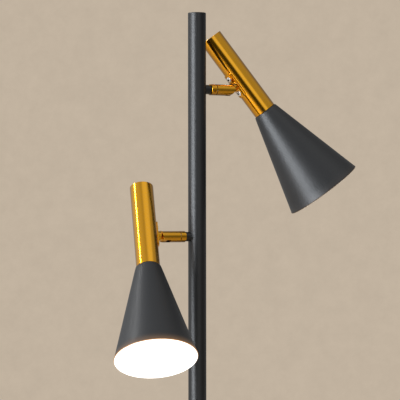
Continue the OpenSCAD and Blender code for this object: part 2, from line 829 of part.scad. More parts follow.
// From the terminal block, up inside the pole, and out through the arm's
// nipple. A short sleeve guards the wire at the stud's mouth.
module arm_wire(arm) {
  low = wire_low_z + wire_low_bend;
  color(wire_sleeve) {
    translate([wire_side, 0, wire_low_z]) rotate([0, 0, 90 - arm[1]]) {
      translate([wire_low_bend, 0, 0]) rotate([0, 180, 0]) bend_down(wire_r, wire_low_bend);
      rod_x(wire_r, wire_low_bend, block_y + 4 - wire_side * sin(arm[1]));
    }
    translate([wire_side, 0, 0]) rod_z(wire_r, low, arm[0] - wire_bend);
    translate([wire_side, 0, 0]) rod_z(wire_r + sleeve_t, low - 0.4, low + sleeve_l);
    translate([wire_side + wire_bend, 0, arm[0]]) mirror([1, 0, 0]) bend_down(wire_r, wire_bend);
    translate([0, 0, arm[0]]) rod_x(wire_r, wire_side + wire_bend, nipple_end);
  }
}

// From the tongue's bore, through its spigot, and down into the lampholder
module head_wire() {
  from = -head_x + pin_d / 2 + 1.4;
  color(wire_sleeve) {
    rod_x(wire_r, from, -wire_bend);
    translate([-wire_bend, 0, 0]) bend_down(wire_r, wire_bend);
    rod_z(wire_r, contact_top, -wire_bend);
  }
}

// ---------------------------------------------------------------- the lamp

base_pad();
base_weight();
base_cover();
base_stud();
base_washer();
base_nut();
cable_gland();
terminal_block();
pole_foot();
pole_lower();
pole_joiner();
pole_upper();
pole_cap();

at_arm(UPPER) arm_boss();  // upper_arm_boss
at_arm(UPPER) knuckle_base();  // upper_knuckle_base
at_arm(UPPER) grub_screw();  // upper_grub_screw
at_arm(UPPER) swivel_nipple();  // upper_swivel_nipple
at_arm(UPPER) swivel_clip();  // upper_swivel_clip
rotate([0, 0, UPPER[1]]) arm_wire(UPPER);  // upper_arm_wire
at_fork(UPPER) knuckle_fork();  // upper_knuckle_fork
at_fork(UPPER) hinge_pin();  // upper_hinge_pin
at_hinge(UPPER) knuckle_tongue();  // upper_knuckle_tongue
at_head(UPPER) tongue_nut();  // upper_tongue_nut
at_head(UPPER) bracket_plate();  // upper_bracket_plate
at_head(UPPER) bracket_screws();  // upper_bracket_screws
at_head(UPPER) holder_strap();  // upper_holder_strap
at_head(UPPER) holder_nipple();  // upper_holder_nipple
at_head(UPPER) lampholder();  // upper_lampholder
at_head(UPPER) holder_contacts();  // upper_holder_contacts
at_head(UPPER) shade_ring();  // upper_shade_ring
at_head(UPPER) head_tube();  // upper_head_tube
at_head(UPPER) tube_cap();  // upper_tube_cap
at_head(UPPER) shade();  // upper_shade
at_head(UPPER) bulb_cap();  // upper_bulb_cap
at_head(UPPER) bulb_glass();  // upper_bulb_glass
at_head(UPPER) head_wire();  // upper_head_wire

at_arm(LOWER) arm_boss();  // lower_arm_boss
at_arm(LOWER) knuckle_base();  // lower_knuckle_base
at_arm(LOWER) grub_screw();  // lower_grub_screw
at_arm(LOWER) swivel_nipple();  // lower_swivel_nipple
at_arm(LOWER) swivel_clip();  // lower_swivel_clip
rotate([0, 0, LOWER[1]]) arm_wire(LOWER);  // lower_arm_wire
at_fork(LOWER) knuckle_fork();  // lower_knuckle_fork
at_fork(LOWER) hinge_pin();  // lower_hinge_pin
at_hinge(LOWER) knuckle_tongue();  // lower_knuckle_tongue
at_head(LOWER) tongue_nut();  // lower_tongue_nut
at_head(LOWER) bracket_plate();  // lower_bracket_plate
at_head(LOWER) bracket_screws();  // lower_bracket_screws
at_head(LOWER) holder_strap();  // lower_holder_strap
at_head(LOWER) holder_nipple();  // lower_holder_nipple
at_head(LOWER) lampholder();  // lower_lampholder
at_head(LOWER) holder_contacts();  // lower_holder_contacts
at_head(LOWER) shade_ring();  // lower_shade_ring
at_head(LOWER) head_tube();  // lower_head_tube
at_head(LOWER) tube_cap();  // lower_tube_cap
at_head(LOWER) shade();  // lower_shade
at_head(LOWER) bulb_cap();  // lower_bulb_cap
at_head(LOWER) bulb_glass();  // lower_bulb_glass
at_head(LOWER) head_wire();  // lower_head_wire
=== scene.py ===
# %% [markdown]
# # A floor lamp with two spot heads
#
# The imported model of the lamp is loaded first. It is the fixed frame: every
# piece of it is where it belongs, in metres, with the floor at height 0. The
# cells below dress that frame. They give each piece its finish, and model
# again, with rounder edges, the pieces that the eye stays on.

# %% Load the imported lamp
import json
import math

import bpy
from mathutils import Matrix, Vector


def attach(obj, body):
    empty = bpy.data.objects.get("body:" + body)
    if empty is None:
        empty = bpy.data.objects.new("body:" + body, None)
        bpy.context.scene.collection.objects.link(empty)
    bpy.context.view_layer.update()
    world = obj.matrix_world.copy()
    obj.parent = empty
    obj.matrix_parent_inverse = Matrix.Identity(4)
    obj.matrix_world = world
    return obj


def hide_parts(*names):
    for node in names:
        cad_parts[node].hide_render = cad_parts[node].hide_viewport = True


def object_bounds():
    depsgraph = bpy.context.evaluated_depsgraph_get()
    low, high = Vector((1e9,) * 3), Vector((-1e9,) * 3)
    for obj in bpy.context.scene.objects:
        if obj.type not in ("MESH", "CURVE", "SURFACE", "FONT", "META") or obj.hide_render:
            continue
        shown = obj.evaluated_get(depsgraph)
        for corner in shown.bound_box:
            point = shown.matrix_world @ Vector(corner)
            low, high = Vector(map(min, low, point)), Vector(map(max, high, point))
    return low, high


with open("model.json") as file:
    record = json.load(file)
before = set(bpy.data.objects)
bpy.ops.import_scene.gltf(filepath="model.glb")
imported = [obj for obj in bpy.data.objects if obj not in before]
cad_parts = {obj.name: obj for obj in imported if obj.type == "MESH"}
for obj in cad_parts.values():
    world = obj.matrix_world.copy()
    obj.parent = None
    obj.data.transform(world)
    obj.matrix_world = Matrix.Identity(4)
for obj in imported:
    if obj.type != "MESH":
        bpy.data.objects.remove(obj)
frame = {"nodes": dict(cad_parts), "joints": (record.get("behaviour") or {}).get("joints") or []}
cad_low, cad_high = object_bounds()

print("nodes:", len(frame["nodes"]), "box:", cad_low, cad_high)

# %% [markdown]
# ## Where the two heads are
#
# Each head hangs on a knuckle at the end of a short arm. The record of the
# lamp's joints says where each arm swivels and each hinge tilts, so the places
# are worked out from it. There are four for each arm: the arm's own, the
# hinge's, the tongue's and the head's. A piece is modelled once, at the origin,
# as if that place were the middle of the world, and its copies are then moved
# there. Only how far each head leans and how far it is from its pin are given.

# %% Places along an arm
MM = 0.001
UP = Vector((0, 0, 1))
ARMS = ("upper", "lower")
LEAN_DEGREES = {"upper": 33.8, "lower": 10.5}
HEAD_REACH = 28.55


def joint(name):
    return next(j for j in frame["joints"] if j["name"] == name)


def place(origin, x, y):
    """A place with its X and Y along two directions."""
    z = x.cross(y)
    return Matrix.Translation(origin) @ Matrix((x, y, z)).transposed().to_4x4()


def arm_place(arm):
    """On the pole's axis at the arm's height, X out along the arm, Z up."""
    x = Vector(joint(arm + "_swivel")["axis"]).normalized()
    height = joint(arm + "_swivel")["pos_m"][2]
    return place((0, 0, height), x, UP.cross(x))


def hinge_place(arm):
    """On the hinge pin, X out along the arm, Y along the pin."""
    x = Vector(joint(arm + "_swivel")["axis"]).normalized()
    y = -Vector(joint(arm + "_tilt")["axis"]).normalized()
    return place(joint(arm + "_tilt")["pos_m"], x, y)


def tongue_place(arm):
    """On the hinge pin, X towards the tube."""
    return hinge_place(arm) @ Matrix.Rotation(-math.radians(LEAN_DEGREES[arm]), 4, "Y")


def head_place(arm):
    """On the tube's axis level with its bracket, Z up the tube."""
    return tongue_place(arm) @ Matrix.Translation((HEAD_REACH * MM, 0, 0))


for arm in ARMS:
    print(arm, "hinge at", hinge_place(arm).translation)
    print(arm, "head at", head_place(arm).translation)

# %% [markdown]
# ## Shader maths as plain sums
#
# A finish is made of nodes that are wired to each other. Wiring each sum by
# hand takes many lines, so a small class holds one output of a node, and the
# signs + - * and ** on it add the Math node that does the sum. One function adds
# any other node: it takes the node's type, its settings, and what goes into
# its sockets.

# %% The class for shader maths
class Wire:
    """One output of a node, which can be added, multiplied and so on."""

    def __init__(self, tree, end):
        self.tree = tree
        self.end = end

    def sum(self, kind, *values):
        return add_node(self.tree, "Math", {"operation": kind}, dict(enumerate(values)))

    def __add__(self, other):
        return self.sum("ADD", self, other)

    def __sub__(self, other):
        return self.sum("SUBTRACT", self, other)

    def __rsub__(self, other):
        return self.sum("SUBTRACT", other, self)

    def __mul__(self, other):
        return self.sum("MULTIPLY", self, other)

    def __pow__(self, other):
        return self.sum("POWER", self, other)

    def without_sign(self):
        return self.sum("ABSOLUTE", self)

    def or_more(self, other):
        return self.sum("MAXIMUM", self, other)

    def between(self, low, high):
        """0 at low, 1 at high, and smooth in the middle."""
        settings = {"interpolation_type": "SMOOTHSTEP"}
        return add_node(self.tree, "MapRange", settings, {0: self, 1: low, 2: high})

    __radd__ = __add__
    __rmul__ = __mul__


def add_node(tree, kind, settings=None, sockets=None, out=0):
    """Add one node: its settings first, then its sockets' values or links."""
    node = tree.nodes.new("ShaderNode" + kind)
    for name, value in (settings or {}).items():
        setattr(node, name, value)
    for name, value in (sockets or {}).items():
        if isinstance(value, Wire):
            tree.links.new(value.end, node.inputs[name])
        else:
            node.inputs[name].default_value = value
    return Wire(tree, node.outputs[out])


def mix_colours(tree, share, first, second):
    """A colour between two, by a share from 0 to 1."""
    colours = [c if isinstance(c, Wire) else (*c, 1.0) for c in (first, second)]
    return add_node(tree, "Mix", {"data_type": "RGBA"},
                    {0: share, 6: colours[0], 7: colours[1]}, out=2)


def scaled(colour, factor):
    return [c * factor for c in colour]


# %% [markdown]
# ## The start of every finish
#
# A finish starts as one Principled shader. What is the same all over is set on
# the shader itself. What changes over the surface, such as the grain of the
# powder coat, is wired in afterwards. Patterns are read from the object's own
# coordinates in metres, turned to the place of the piece, so that brushing
# runs along a tube whichever way the tube leans.

# %% Helpers for finishes
class Finish:
    """A material with one Principled shader, and ways to wire patterns in."""

    def __init__(self, name, colour, where=None, **sockets):
        self.material = bpy.data.materials.new(name)
        self.material.use_nodes = True
        self.tree = self.material.node_tree
        self.shader = self.tree.nodes["Principled BSDF"]
        self.shader.inputs["Base Color"].default_value = (*colour, 1.0)
        for socket, value in sockets.items():
            self.shader.inputs[socket.replace("_", " ")].default_value = value
        self.spot = self.node("TexCoord", out=3)
        if where is not None:
            turn_back = where.inverted()
            self.spot = self.node("Mapping", sockets={
                "Vector": self.spot,
                "Location": turn_back.translation,
                "Rotation": turn_back.to_euler(),
            })

    def node(self, kind, settings=None, sockets=None, out=0):
        return add_node(self.tree, kind, settings, sockets, out)

    def along(self, axis):
        """How far the point is along one of the piece's own axes, 0 to 2."""
        return self.node("SeparateXYZ", None, {0: self.spot}, out=axis)

    def stretched(self, x, y, z):
        """The piece's own coordinates, with a scale for each direction."""
        return self.node("VectorMath", {"operation": "MULTIPLY"}, {0: self.spot, 1: (x, y, z)})

    def noise(self, scale, detail=2.0, rough=0.5, spot=None, tangle=0.0):
        return self.node("TexNoise", None, {
            "Vector": spot or self.spot, "Scale": scale, "Detail": detail,
            "Roughness": rough, "Distortion": tangle,
        })

    def blend(self, share, first, second):
        return mix_colours(self.tree, share, first, second)

    def feed(self, socket, wire):
        self.tree.links.new(wire.end, self.shader.inputs[socket])

    def glow(self, colour, strength):
        """Let the surface give off light of its own."""
        self.feed("Emission Color", colour)
        self.shader.inputs["Emission Strength"].default_value = strength

    def bump(self, height, depth, strength=0.5):
        """Raise and lower the surface by a wire from 0 to 1, depth in mm."""
        self.feed("Normal", self.node("Bump", None, {
            "Height": height, "Distance": depth * MM, "Strength": strength}))


# %% [markdown]
# ## Powder coat
#
# The pole, the base and the shades are coated with baked powder. It is not
# quite black, it is rough, and under a soft light its surface shows a fine
# grain, like the peel of an orange but much smaller. Two noises make it: a
# coarse one for the peel and a fine one for the grit. Both raise the surface,
# and the fine one also changes the colour and the roughness a little.

# %% Powder coat
POLE_BLACK = (0.0055, 0.006, 0.0065)
COAT_IOR = 1.56
COAT_DEPTH = 0.45


def powder_coat(name, colour, grain, rough, where=None):
    """A coat by the scale of its grain, and how rough it is on average."""
    coat = Finish(name, colour, where, IOR=COAT_IOR)
    grit = coat.noise(grain, 3.0, 0.6)
    peel = coat.noise(grain * 0.4, 2.0)
    cloud = coat.noise(14.0, 2.0)
    shade_of_grey = coat.blend(grit * 0.7 + cloud * 0.3, scaled(colour, 0.72), scaled(colour, 1.42))
    coat.feed("Base Color", shade_of_grey)
    coat.feed("Roughness", grit * 0.34 + cloud * 0.06 + (rough - 0.20))
    coat.bump(grit * 0.45 + peel * 0.55, COAT_DEPTH)
    return coat


black = powder_coat("powder_coat_pole", POLE_BLACK, grain=750.0, rough=0.41)
print("powder coat made for the pole, the arms and the base")

# %% [markdown]
# ## The shades' coat, which glows at the mouth
#
# The shades have the same coat. The lamp inside is warm and bright, and its
# light creeps round the rolled edge of the mouth. That light is painted: the
# last centimetre of the coat gets a painted warm glow, and the edge itself a
# warm brown colour and a brighter painted glow. Heights are read in the head's
# own place, so the glow stays at the mouth whichever way the head leans.

# %% Shade coat and glowing edge
SHADE_BLACK = (0.0105, 0.0113, 0.0125)
# Colours and strengths of the painted glow at the mouth: warm on the coat, hot on the edge.
WARM, HOT = (0.115, 0.060, 0.024), (0.62, 0.30, 0.10)
MOUTH_Z = -193.5 * MM
GLOW_HEIGHT = 16 * MM
GLOW = {"upper": 0.06, "lower": 1.0}
shade_coat, mouth_edge = {}, {}
for arm in ARMS:
    coat = powder_coat("powder_coat_shade_" + arm, SHADE_BLACK, 1300.0, 0.42, head_place(arm))
    near_mouth = coat.along(2).between(MOUTH_Z + GLOW_HEIGHT, MOUTH_Z)
    # Painted warm glow on the coat's last centimetre before the mouth.
    coat.glow(coat.blend(near_mouth ** 2.0, (0, 0, 0), scaled(WARM, GLOW[arm])), 1.0)
    shade_coat[arm] = coat
    # The mouth's edge: a warm brown colour and a brighter glow, both painted lamp light.
    edge = Finish("mouth_edge_" + arm, (0.10, 0.06, 0.03))
    flicker = edge.noise(160.0, 2.0)
    edge.feed("Base Color", edge.blend(flicker, (0.08, 0.045, 0.02), (0.14, 0.09, 0.05)))
    edge.feed("Roughness", flicker * 0.1 + 0.4)
    hot = scaled(HOT, GLOW[arm])
    edge.glow(edge.blend(flicker, scaled(hot, 0.8), hot), 1.0)
    mouth_edge[arm] = edge
print("shade coats made, glow", GLOW)

# %% [markdown]
# ## Brass
#
# The tubes are brushed along their length and lacquered, so a reflection stays
# sharp across the tube and is drawn out along it. The knuckles are turned on a
# lathe, and their marks run round them. One function makes both: it stretches
# a noise along or across the piece, and uses it for the colour, the roughness
# and a very shallow bump. On the knuckles the colour is also painted dark
# brown in the seam and well under them, as painted shade, and along their top
# line, as a painted dark reflection.

# %% Brass
BRASS_DEEP = (0.72, 0.330, 0.004)
BRASS_LIGHT = (0.90, 0.430, 0.007)
# The dark brown of the knuckles' painted shade and painted dark reflection.
BRASS_PAINTED_DARK = (0.085, 0.038, 0.004)
BRUSHED = {"streaks": (300, 300, 7), "hairs": (1500, 1500, 10)}
TURNED = {"streaks": (160, 60, 60), "hairs": (2200, 30, 30)}
SEAM_X = 29.1 * MM
KNUCKLE_R = 7.8


def painted_dark_on_knuckle(metal):
    """Painted shade in the seam and well under the knuckle, and a painted dark reflection on its
    top line: near 1 there, else 0.
    """
    edge = KNUCKLE_R * MM
    seam = (metal.along(0) - SEAM_X).without_sign().between(0.9 * MM, 0.3 * MM)
    under = metal.along(2).between(-0.55 * edge, -0.98 * edge)
    top_line = metal.along(2).between(0.86 * edge, edge)
    return seam.or_more(under).or_more(top_line) * 0.9


def brass(name, where, streaks, hairs, rough, depth, turned=False):
    """Lacquered brass, by the scales of its broad streaks and its fine hairs."""
    metal = Finish(name, BRASS_LIGHT, where, Metallic=1.0, Coat_Weight=0.6, Coat_Roughness=0.03)
    hair = metal.noise(1.0, 3.0, 0.62, metal.stretched(*hairs))
    streak = metal.noise(1.0, 2.0, 0.5, metal.stretched(*streaks))
    smudge = metal.noise(38.0, 3.0, 0.55)
    gold = metal.blend(hair * 0.45 + streak * 0.55, BRASS_DEEP, BRASS_LIGHT)
    # Turned knuckles get painted shade in the seam and underneath, and a painted dark reflection
    # along the top.
    if turned:
        gold = metal.blend(painted_dark_on_knuckle(metal), gold, BRASS_PAINTED_DARK)
    metal.feed("Base Color", gold)
    metal.feed("Roughness", hair * 0.04 + smudge * 0.03 + (rough - 0.035))
    metal.bump(hair, depth)
    return metal


tube_brass, knuckle_brass = {}, {}
for arm in ARMS:
    tube_brass[arm] = brass("tube_brass_" + arm, head_place(arm), **BRUSHED,
                            rough=0.15, depth=0.002)
    knuckle_brass[arm] = brass("knuckle_brass_" + arm, arm_place(arm), **TURNED,
                               rough=0.18, depth=0.006, turned=True)
print("brass made for", ", ".join(ARMS))

# %% [markdown]
# ## The plain finishes
#
# The pieces that are seldom seen still get their own finish: nickel for the
# screws, zinc for the steel inside, cast iron for the weight, felt under the
# base, rubber for the grommet, and moulded white for the lampholders.

# %% Nickel, zinc and iron
def metal_finish(name, colour, rough, grain=900.0, depth=0.02):
    metal = Finish(name, colour, Metallic=1.0)
    grit = metal.noise(grain, 3.0)
    cloud = metal.noise(60.0, 2.0)
    metal.feed("Base Color", metal.blend(cloud, scaled(colour, 0.86), colour))
    metal.feed("Roughness", grit * 0.10 + cloud * 0.08 + (rough - 0.08))
    metal.bump(grit, depth)
    return metal


nickel = metal_finish("nickel", (0.93, 0.92, 0.90), 0.22)
nickel.shader.inputs["Metallic"].default_value = 0.45
# Near-black steel: painted shade in the screws' hexagon sockets.
socket_painted_shade = metal_finish("socket_painted_shade", (0.05, 0.045, 0.04), 0.5)
zinc = metal_finish("zinc", (0.60, 0.61, 0.63), 0.34, grain=260.0)
iron = metal_finish("cast_iron", (0.09, 0.09, 0.092), 0.62, grain=420.0, depth=0.2)
print("nickel, zinc and iron made")

# %% Felt, rubber and moulded white
felt = Finish("felt", (0.018, 0.018, 0.019), Sheen_Weight=0.35, Sheen_Roughness=0.6)
fibre = felt.noise(1500.0, 4.0, 0.7, tangle=1.2)
felt.feed("Base Color", felt.blend(fibre, (0.008, 0.008, 0.009), (0.045, 0.045, 0.046)))
felt.feed("Roughness", fibre * 0.1 + 0.86)
felt.bump(fibre, 0.4, 0.9)

rubber = Finish("rubber", (0.016, 0.016, 0.016))
dust = rubber.noise(700.0, 3.0)
rubber.feed("Base Color", rubber.blend(dust, (0.012, 0.012, 0.012), (0.028, 0.027, 0.026)))
rubber.feed("Roughness", dust * 0.2 + 0.55)
rubber.bump(dust, 0.08)

moulded = Finish("moulded_white", (0.80, 0.79, 0.75), Coat_Weight=0.25)
flow = moulded.noise(90.0, 3.0)
moulded.feed("Base Color", moulded.blend(flow, (0.74, 0.73, 0.68), (0.84, 0.83, 0.79)))
moulded.feed("Roughness", flow * 0.12 + 0.24)
moulded.bump(flow, 0.06, 0.4)

sleeve = Finish("wire_sleeve", (0.75, 0.74, 0.70))
scuff = sleeve.noise(400.0, 3.0)
sleeve.feed("Base Color", sleeve.blend(scuff, (0.66, 0.65, 0.60), (0.80, 0.79, 0.75)))
sleeve.feed("Roughness", scuff * 0.15 + 0.42)
sleeve.bump(scuff, 0.05, 0.4)
print("felt, rubber, moulded white and wire sleeve made")

# %% [markdown]
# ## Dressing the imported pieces
#
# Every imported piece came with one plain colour. Its mesh is right and stays,
# so only the finish is changed. The pieces of the base and the pole are found
# by their whole name, and those of an arm by the name that both arms share.
# What is left over is the steel inside, which is zinc plated.

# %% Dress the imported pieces
BY_NAME = {"base_pad": felt, "base_weight": iron, "base_cover": black, "cable_gland": rubber,
           "terminal_block": moulded}
WHITE_PARTS = ("lampholder", "shade_ring")
WIRES = ("arm_wire", "head_wire")
TUBE_PARTS = ("head_tube", "tube_cap", "bracket_plate")
KNUCKLE_PARTS = ("knuckle_base", "knuckle_fork", "knuckle_tongue", "hinge_pin", "holder_contacts")


def finish_for(name):
    arm, _, part = name.partition("_")
    if name in BY_NAME:
        return BY_NAME[name]
    if arm == "pole" or part == "arm_boss":
        return black
    if part in WHITE_PARTS:
        return moulded
    if part in WIRES:
        return sleeve
    if part in TUBE_PARTS:
        return tube_brass[arm]
    if part in KNUCKLE_PARTS:
        return knuckle_brass[arm]
    if part == "shade":
        return shade_coat[arm]
    return nickel if part == "bracket_screws" else zinc


def finish_with(piece, finishes, pick=None):
    """Lay the finishes on: pick() says which of them a face gets, 0 to 2."""
    piece.data.materials.clear()
    for finish in finishes:
        piece.data.materials.append(finish.material)
    for face in piece.data.polygons:
        face.material_index = pick(face) if pick else 0


for name, node in frame["nodes"].items():
    finish_with(node, [finish_for(name)])
print("dressed", len(frame["nodes"]), "packed pieces")

# %% [markdown]
# ## Turning a piece
#
# Nearly every piece of this lamp is round, because it was drawn, spun or turned
# on a lathe. A lathe's work can be made in several ways: by spinning a profile
# about an axis, by a Screw modifier, or by drawing out a ring. The last is used
# here. A circle is added, and its edge is extruded and resized, once for each
# point of the profile, so each step can be seen in edit mode. A profile that
# comes back to its start makes a wall, and one that doesn't has its two ends
# filled.

# %% Helpers for turned pieces
LYING = {"X": (0, math.radians(90), 0), "Y": (math.radians(-90), 0, 0), "Z": (0, 0, 0)}


def only(piece):
    """Select one object and nothing else."""
    bpy.ops.object.select_all(action="DESELECT")
    piece.select_set(True)
    bpy.context.view_layer.objects.active = piece
    return piece


def settle(piece, at=(0, 0, 0), turned=(0, 0, 0)):
    """Move a piece by some mm and turn it, and write its place into its mesh."""
    only(piece)
    piece.location = scaled(at, MM)
    piece.rotation_euler = turned
    bpy.ops.object.transform_apply(location=True, rotation=True, scale=True)
    return piece


def edit_mesh(piece):
    """Go into edit mode with every edge of the piece selected."""
    only(piece)
    bpy.ops.object.mode_set(mode="EDIT")
    bpy.ops.mesh.select_mode(type="EDGE")
    bpy.ops.mesh.select_all(action="SELECT")


def turn(name, profile, wall=False, sides=96, along="Z"):
    """A round piece from its profile: pairs of radius and height, in mm."""
    bpy.ops.object.select_all(action="DESELECT")
    radius, height = profile[0]
    bpy.ops.mesh.primitive_circle_add(vertices=sides, radius=radius * MM)
    piece = bpy.context.active_object
    piece.name = name
    settle(piece, (0, 0, height))
    edit_mesh(piece)
    for next_radius, next_height in profile[1:] + (profile[:1] if wall else []):
        rise, ratio = (next_height - height) * MM, next_radius / radius
        bpy.ops.mesh.extrude_region_move(TRANSFORM_OT_translate={"value": (0, 0, rise)})
        bpy.ops.transform.resize(value=(ratio, ratio, 1), center_override=(0, 0, 0))
        radius, height = next_radius, next_height
    bpy.ops.mesh.select_all(action="SELECT")
    if wall:
        bpy.ops.mesh.remove_doubles(threshold=0.005 * MM)
    else:
        bpy.ops.mesh.fill_holes(sides=0)
    bpy.ops.mesh.select_all(action="SELECT")
    bpy.ops.mesh.normals_make_consistent(inside=False)
    bpy.ops.object.mode_set(mode="OBJECT")
    return settle(piece, turned=LYING[along])


def arc(centre, radius, start, end, steps):
    """Points of a profile on a round, angles in degrees from straight out."""
    turns = [math.radians(start + (end - start) * i / steps) for i in range(steps + 1)]
    return [(centre[0] + radius * math.cos(a), centre[1] + radius * math.sin(a)) for a in turns]


# %% [markdown]
# ## Cutting and softening
#
# Slots, flats and sockets are cut with a second piece, as a saw or a drill
# would, by a Boolean modifier. The edges that are left are then broken a
# little, because a real edge is never quite sharp and always catches a thin
# line of light. The weighted normals let the large faces decide the shading at
# a corner, so a reflection runs straight to the end of a long face.

# %% Helpers for cutting and softening
CUTTER_HALF = 20


def apply_modifier(piece, kind, **settings):
    modifier = only(piece).modifiers.new(kind.lower(), kind)
    for name, value in settings.items():
        setattr(modifier, name, value)
    bpy.ops.object.modifier_apply(modifier=modifier.name)


def cut(piece, tool, operation="DIFFERENCE"):
    """Cut the piece with a second one, or join them, and delete the second."""
    apply_modifier(piece, "BOOLEAN", object=tool, operation=operation, solver="EXACT")
    bpy.data.objects.remove(tool)


def block(size, centre):
    """A block that is only used to cut other pieces, in mm."""
    bpy.ops.object.select_all(action="DESELECT")
    bpy.ops.mesh.primitive_cube_add(size=1)
    tool = bpy.context.active_object
    tool.scale = scaled(size, MM)
    return settle(tool, centre)


def bar(radius, along="Z", sides=96):
    """A long round bar through the origin, only used to cut other pieces."""
    return turn("bar_tool", [(radius, -CUTTER_HALF), (radius, CUTTER_HALF)], sides=sides,
                along=along)


def smooth(piece, angle):
    """Shade smooth, apart from edges that are sharper than the angle."""
    only(piece)
    bpy.ops.object.shade_smooth_by_angle(angle=math.radians(angle))


def soften(piece, width, segments=2, angle=40):
    """Round the sharp edges by a width in mm, and shade the rest smooth."""
    apply_modifier(piece, "BEVEL", width=width * MM, segments=segments, limit_method="ANGLE",
                   angle_limit=math.radians(angle), harden_normals=False)
    smooth(piece, angle)
    apply_modifier(piece, "WEIGHTED_NORMAL", keep_sharp=True, weight=100)


# %% [markdown]
# ## One pattern, two arms
#
# Both arms carry the same pieces, so each is modelled once as a pattern. A copy
# with its own mesh is moved to each arm's place, gets that arm's finish and is
# hung on the body of the frame that it rides on, and the imported piece that it
# stands for is hidden. The pattern itself is then deleted.

# %% Helper that puts a pattern on both arms
def on_each_arm(*finishes):
    """The list of finishes of a pattern for each arm."""
    return {arm: [f[arm] if isinstance(f, dict) else f for f in finishes] for arm in ARMS}


def stand(pattern, part, where, body, finishes, node, pick=None):
    """Put one copy of a pattern on each arm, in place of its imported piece."""
    finish_with(pattern, finishes["upper"], pick)
    for arm in ARMS:
        only(pattern)
        bpy.ops.object.duplicate(linked=False)
        piece = bpy.context.active_object
        piece.name = arm + "_" + part
        for index, finish in enumerate(finishes[arm]):
            piece.data.materials[index] = finish.material
        piece.matrix_world = where(arm)
        bpy.ops.object.transform_apply(location=True, rotation=True, scale=True)
        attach(piece, "stand" if body == "stand" else arm + "_" + body)
        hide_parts(arm + "_" + node)
    print(part, len(pattern.data.polygons), "faces on each arm")
    bpy.data.objects.remove(pattern)


tube_finish, knuckle_finish = on_each_arm(tube_brass), on_each_arm(knuckle_brass)

# %% [markdown]
# ## The brass tube and its cap
#
# The tube is cut from drawn brass, and its two ends are broken with a fine
# file, so a thin bright line runs round each. The wall is one closed profile
# with a small bevel at each corner, and a ring 1 mm from each end holds the
# shading straight. A flat cap with a rounded edge is pressed into the upper
# end and sits a hair below the rim.

# %% Tube and cap
TUBE_R, TUBE_WALL, TUBE_LOW, TUBE_HIGH = 16.3, 1.0, -53.5, 74.5
TUBE_BORE_R = TUBE_R - TUBE_WALL
RIM = 0.3
CAP_R, CAP_TOP, CAP_DEPTH, CAP_ROUND = TUBE_BORE_R - 0.06, TUBE_HIGH - 0.3, 6, 0.6

tube = turn("tube_pattern", [
    (TUBE_R - RIM, TUBE_LOW), (TUBE_R, TUBE_LOW + RIM), (TUBE_R, TUBE_LOW + 1), (TUBE_R, 0),
    (TUBE_R, TUBE_HIGH - 1), (TUBE_R, TUBE_HIGH - RIM), (TUBE_R - RIM, TUBE_HIGH),
    (TUBE_BORE_R + RIM, TUBE_HIGH), (TUBE_BORE_R, TUBE_HIGH - RIM),
    (TUBE_BORE_R, TUBE_LOW + RIM), (TUBE_BORE_R + RIM, TUBE_LOW)], wall=True, sides=128)
soften(tube, 0.08, angle=30)
stand(tube, "spot_tube", head_place, "head", tube_finish, "head_tube")

tube_cap = turn("cap_pattern", [(CAP_R - 1, CAP_TOP - CAP_DEPTH), (CAP_R, CAP_TOP - CAP_DEPTH)]
                + arc((CAP_R - CAP_ROUND, CAP_TOP - CAP_ROUND), CAP_ROUND, 0, 90, 5)
                + [(CAP_R * 0.5, CAP_TOP + 0.05), (1, CAP_TOP + 0.1)])
soften(tube_cap, 0.05, segments=1)
stand(tube_cap, "spot_tube_cap", head_place, "head", tube_finish, "tube_cap")

# %% [markdown]
# ## The cone shade
#
# The shade is spun from sheet, so its wall is even, the shoulder at its neck is
# a small round, and the mouth ends in a bead that is rolled inwards. Its
# outside is powder coated. The inside is white, and since it is close to the
# lamp it is given a painted glow. It is one closed profile, and the finish of
# each face is chosen by the side that the face looks to.

# %% The lit inside of a shade
enamel_with_painted_glow = Finish("lit_enamel", (0.86, 0.85, 0.82))
drift = enamel_with_painted_glow.noise(30.0, 2.0)
enamel_with_painted_glow.feed("Base Color", enamel_with_painted_glow.blend(drift, (0.84, 0.83, 0.80), (0.88, 0.87, 0.85)))
enamel_with_painted_glow.feed("Roughness", drift * 0.1 + 0.35)
# Painted glow: the white inside gives off light of its own in place of the lamp's light on it.
enamel_with_painted_glow.glow(enamel_with_painted_glow.blend(drift, (1.0, 0.97, 0.92), (1.0, 0.99, 0.96)), 1.2)
print("enamel made")

# %% Shade
SHADE_TOP, SHADE_LOW = TUBE_LOW - 0.5, TUBE_LOW - 140
NECK_R, MOUTH_R, SHEET = 17.4, 56.0, 1.0
HOLE_R, LIP_R = 14.1, 15.8
SHOULDER, BEAD = 1.2, 1.0
SHOULDER_AT = (NECK_R - SHOULDER + 0.12, SHADE_TOP - SHOULDER)
BEAD_AT = (MOUTH_R - BEAD - 0.1, SHADE_LOW + BEAD)
slope = math.degrees(math.atan2(MOUTH_R - NECK_R, SHADE_TOP - SHADE_LOW))


def wall_point(share, inset):
    """A point down the cone's wall, by its share of the way and its depth."""
    radius = NECK_R + (MOUTH_R - NECK_R) * share
    return radius - inset, SHADE_TOP - (SHADE_TOP - SHADE_LOW) * share


def cone_side(first, last, inset, steps):
    return [wall_point(first + (last - first) * i / steps, inset) for i in range(steps + 1)]


def side_of(face):
    """0 for the shade's outside, 1 for its inside, 2 for the edge of its mouth."""
    outwards = Vector((face.center.x, face.center.y, 0)).normalized()
    if face.center.z > SHADE_TOP * MM:
        return 0
    if face.normal.dot(outwards) < -0.2 or face.normal.z < -0.97:
        return 1
    return 2 if face.center.z < (SHADE_LOW + BEAD) * MM else 0


